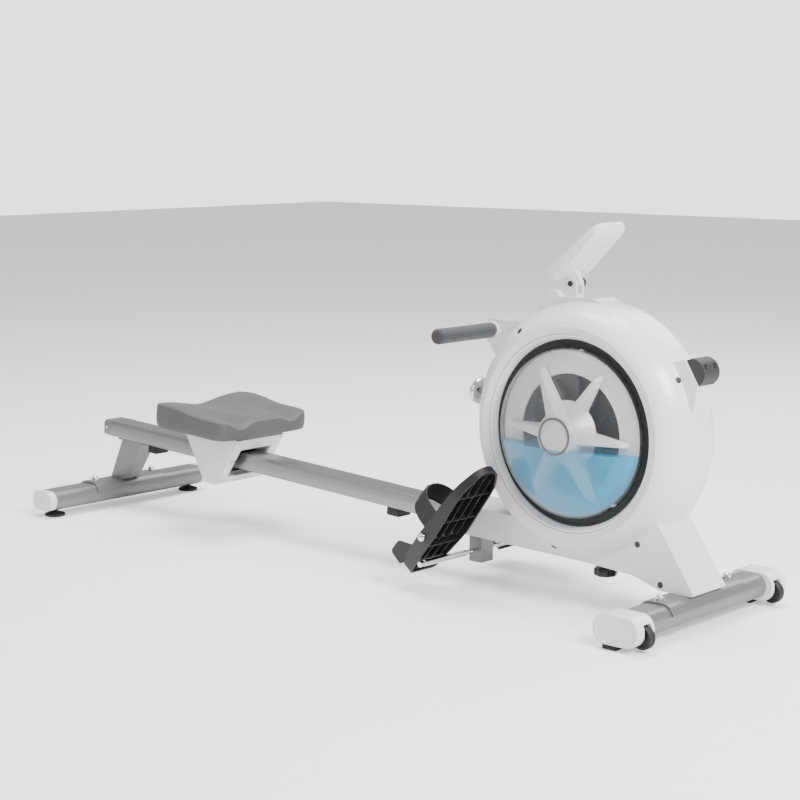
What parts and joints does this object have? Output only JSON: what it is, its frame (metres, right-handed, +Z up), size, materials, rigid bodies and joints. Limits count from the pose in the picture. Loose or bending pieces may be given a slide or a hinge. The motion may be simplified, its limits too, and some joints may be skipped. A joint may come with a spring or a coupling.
{
  "type": "rowing machine",
  "caption": "Indoor rowing machine with a round water tank in a white housing, a sliding seat on a long rail, pivoting footrests, a pull handle and a tilting console.",
  "frame": {"origin": "on the floor under the middle of the machine's bounding box", "axes": "+X along the machine towards the tank, +Y across it to the user's left, +Z up"},
  "size_m": [1.8958, 0.5366, 0.7968],
  "materials": {
    "main_rail": "brushed, bright along its edges",
    "rail_end_cap": "moulded",
    "rear_leg": "silver-grey paint",
    "rear_foot_bar": "silver-grey paint",
    "front_foot_bar": "silver-grey paint",
    "front_leg": "silver-grey paint",
    "rear_rail_stop": "matte",
    "front_rail_stop": "matte",
    "seat_carriage": "white, satin",
    "seat_base_plate": "pressed steel",
    "seat_pad": "soft dark grey cover over foam",
    "pedal_shaft": "polished",
    "foot_stop_rod": "polished",
    "foot_bracket": "grey paint",
    "impeller_shaft": "ground",
    "strap_spool": "moulded",
    "recoil_spring_case": "moulded",
    "strap_roller": "moulded",
    "drive_strap": "woven webbing",
    "handle_bar": "steel tube",
    "handle_hub": "white",
    "console_post": "white",
    "console_knob": "black",
    "console_body": "pale grey",
    "console_screen": "dark display window",
    "console_battery_door": "pale grey",
    "resistance_dial": "white cap with a dark rim",
    "storage_bumper": "grey",
    "frame_knob": "black",
    "rear_bar_cap_right": "moulded",
    "levelling_foot_right": "black",
    "front_cap_right": "white",
    "front_pad_right": "black",
    "transport_wheel_right": "black",
    "pedal_right": "black",
    "pedal_strap_right": "black",
    "housing_right": "white, satin",
    "trim_ring_right": "white",
    "seal_ring_right": "black",
    "tank_dome_right": "clear moulded tank wall",
    "tank_cup_right": "white",
    "impeller_right": "white",
    "handle_grip_right": "dark grey foam",
    "rear_bar_cap_left": "moulded",
    "levelling_foot_left": "black",
    "front_cap_left": "white",
    "front_pad_left": "black",
    "transport_wheel_left": "black",
    "pedal_left": "black",
    "pedal_strap_left": "black",
    "housing_left": "white, satin",
    "trim_ring_left": "white",
    "seal_ring_left": "black",
    "tank_dome_left": "clear moulded tank wall",
    "tank_cup_left": "white",
    "impeller_left": "white",
    "handle_grip_left": "dark grey foam",
    "seat_roller_front": "moulded",
    "seat_roller_rear": "moulded",
    "seat_roller_lower": "moulded"
  },
  "bodies": {
    "frame": {"main_rail": "main_rail", "rail_end_cap": "rail_end_cap", "rear_leg": "rear_leg", "rear_foot_bar": "rear_foot_bar", "rear_bar_cap_right": "rear_bar_cap_right", "rear_bar_cap_left": "rear_bar_cap_left", "rear_rail_stop": "rear_rail_stop", "front_rail_stop": "front_rail_stop", "front_leg": "front_leg", "front_foot_bar": "front_foot_bar", "front_cap_right": "front_cap_right", "front_cap_left": "front_cap_left", "front_pad_right": "front_pad_right", "front_pad_left": "front_pad_left", "foot_bracket": "foot_bracket", "foot_stop_rod": "foot_stop_rod", "pedal_shaft": "pedal_shaft", "housing_right": "housing_right", "housing_left": "housing_left", "trim_ring_right": "trim_ring_right", "trim_ring_left": "trim_ring_left", "seal_ring_right": "seal_ring_right", "seal_ring_left": "seal_ring_left", "tank_dome_right": "tank_dome_right", "tank_dome_left": "tank_dome_left", "tank_cup_right": "tank_cup_right", "tank_cup_left": "tank_cup_left", "recoil_spring_case": "recoil_spring_case", "drive_strap": "drive_strap", "storage_bumper": "storage_bumper", "console_post": "console_post"},
    "seat": {"seat_carriage": "seat_carriage", "seat_base_plate": "seat_base_plate", "seat_pad": "seat_pad"},
    "impeller": {"impeller_right": "impeller_right", "impeller_left": "impeller_left", "impeller_shaft": "impeller_shaft"},
    "handle": {"handle_bar": "handle_bar", "handle_hub": "handle_hub", "handle_grip_right": "handle_grip_right", "handle_grip_left": "handle_grip_left"},
    "console": {"console_body": "console_body", "console_screen": "console_screen"},
    "battery_door": {"console_battery_door": "console_battery_door"},
    "spool": {"strap_spool": "strap_spool"},
    "guide_roller": {"strap_roller": "strap_roller"},
    "console_clamp": {"console_knob": "console_knob"},
    "dial": {"resistance_dial": "resistance_dial"},
    "frame_clamp": {"frame_knob": "frame_knob"},
    "roller_front": {"seat_roller_front": "seat_roller_front"},
    "roller_rear": {"seat_roller_rear": "seat_roller_rear"},
    "roller_lower": {"seat_roller_lower": "seat_roller_lower"},
    "footrest_right": {"pedal_right": "pedal_right", "pedal_strap_right": "pedal_strap_right"},
    "wheel_right": {"transport_wheel_right": "transport_wheel_right"},
    "foot_right": {"levelling_foot_right": "levelling_foot_right"},
    "footrest_left": {"pedal_left": "pedal_left", "pedal_strap_left": "pedal_strap_left"},
    "wheel_left": {"transport_wheel_left": "transport_wheel_left"},
    "foot_left": {"levelling_foot_left": "levelling_foot_left"}
  },
  "joints": [
    {"name": "seat_slide", "type": "slide", "parent": "frame", "child": "seat", "axis": [0.9987, 0, -0.0506], "range_m": [-0.2, 0.48]},
    {"name": "front_roller_turn", "type": "hinge", "parent": "seat", "child": "roller_front", "pos_m": [-0.42907, 0, 0.21345], "axis": [0, 1, 0], "range_deg": [-722, 1724]},
    {"name": "rear_roller_turn", "type": "hinge", "parent": "seat", "child": "roller_rear", "pos_m": [-0.51296, 0, 0.2177], "axis": [0, 1, 0], "range_deg": [-722, 1724]},
    {"name": "lower_roller_turn", "type": "hinge", "parent": "seat", "child": "roller_lower", "pos_m": [-0.47438, 0, 0.14906], "axis": [0, 1, 0], "range_deg": [-2756, 1151]},
    {"name": "footrest_right_tilt", "type": "hinge", "parent": "frame", "child": "footrest_right", "pos_m": [0.33715, -0.1475, 0.13], "axis": [0, 1, 0], "range_deg": [-4, 14]},
    {"name": "footrest_left_tilt", "type": "hinge", "parent": "frame", "child": "footrest_left", "pos_m": [0.33715, 0.1475, 0.13], "axis": [0, 1, 0], "range_deg": [-4, 14]},
    {"name": "impeller_spin", "type": "hinge", "parent": "frame", "child": "impeller", "pos_m": [0.62715, 0, 0.369], "axis": [0, 1, 0], "continuous": true},
    {"name": "handle_pull", "type": "slide", "parent": "frame", "child": "handle", "axis": [-1, 0, 0], "range_m": [0, 1.2], "stiffness_N_per_m": 20, "springref_m": -0.4, "deforming": ["drive_strap"]},
    {"name": "spool_turn", "type": "hinge", "parent": "frame", "child": "spool", "pos_m": [0.62715, 0, 0.369], "axis": [0, 1, 0], "range_deg": [-1969, 10]},
    {"name": "guide_roller_turn", "type": "hinge", "parent": "frame", "child": "guide_roller", "pos_m": [0.43115, 0, 0.5469], "axis": [0, 1, 0], "range_deg": [-5259, 10]},
    {"name": "console_tilt", "type": "hinge", "parent": "frame", "child": "console", "pos_m": [0.57515, 0, 0.668], "axis": [0, 1, 0], "range_deg": [-12, 20]},
    {"name": "battery_door_lift", "type": "slide", "parent": "console", "child": "battery_door", "axis": [0.7082, 0, -0.706], "range_m": [0, 0.02]},
    {"name": "console_knob_turn", "type": "hinge", "parent": "frame", "child": "console_clamp", "pos_m": [0.57515, 0, 0.668], "axis": [0, 1, 0], "range_deg": [-180, 180]},
    {"name": "dial_turn", "type": "hinge", "parent": "frame", "child": "dial", "pos_m": [0.36696, -0.035, 0.4243], "axis": [-0.9781, 0, 0.2079], "range_deg": [0, 270]},
    {"name": "frame_knob_turn", "type": "hinge", "parent": "frame", "child": "frame_clamp", "pos_m": [0.66615, 0, 0.06], "axis": [0, 0, 1], "range_deg": [-360, 360]},
    {"name": "wheel_right_spin", "type": "hinge", "parent": "frame", "child": "wheel_right", "pos_m": [0.92415, -0.2335, 0.03], "axis": [0, 1, 0], "continuous": true},
    {"name": "levelling_foot_right_turn", "type": "hinge", "parent": "frame", "child": "foot_right", "pos_m": [-0.90585, -0.2247, 0.009], "axis": [0, 0, 1], "range_deg": [-360, 360]},
    {"name": "wheel_left_spin", "type": "hinge", "parent": "frame", "child": "wheel_left", "pos_m": [0.92415, 0.2335, 0.03], "axis": [0, 1, 0], "continuous": true},
    {"name": "levelling_foot_left_turn", "type": "hinge", "parent": "frame", "child": "foot_left", "pos_m": [-0.90585, 0.2247, 0.009], "axis": [0, 0, 1], "range_deg": [-360, 360]}
  ],
  "couplings": [
    {"joint": "front_roller_turn", "follows": "seat_slide", "rad_per_m": 62.5},
    {"joint": "rear_roller_turn", "follows": "seat_slide", "rad_per_m": 62.5},
    {"joint": "lower_roller_turn", "follows": "seat_slide", "rad_per_m": -100},
    {"joint": "spool_turn", "follows": "handle_pull", "rad_per_m": -28.49},
    {"joint": "guide_roller_turn", "follows": "handle_pull", "rad_per_m": -76.336}
  ]
}
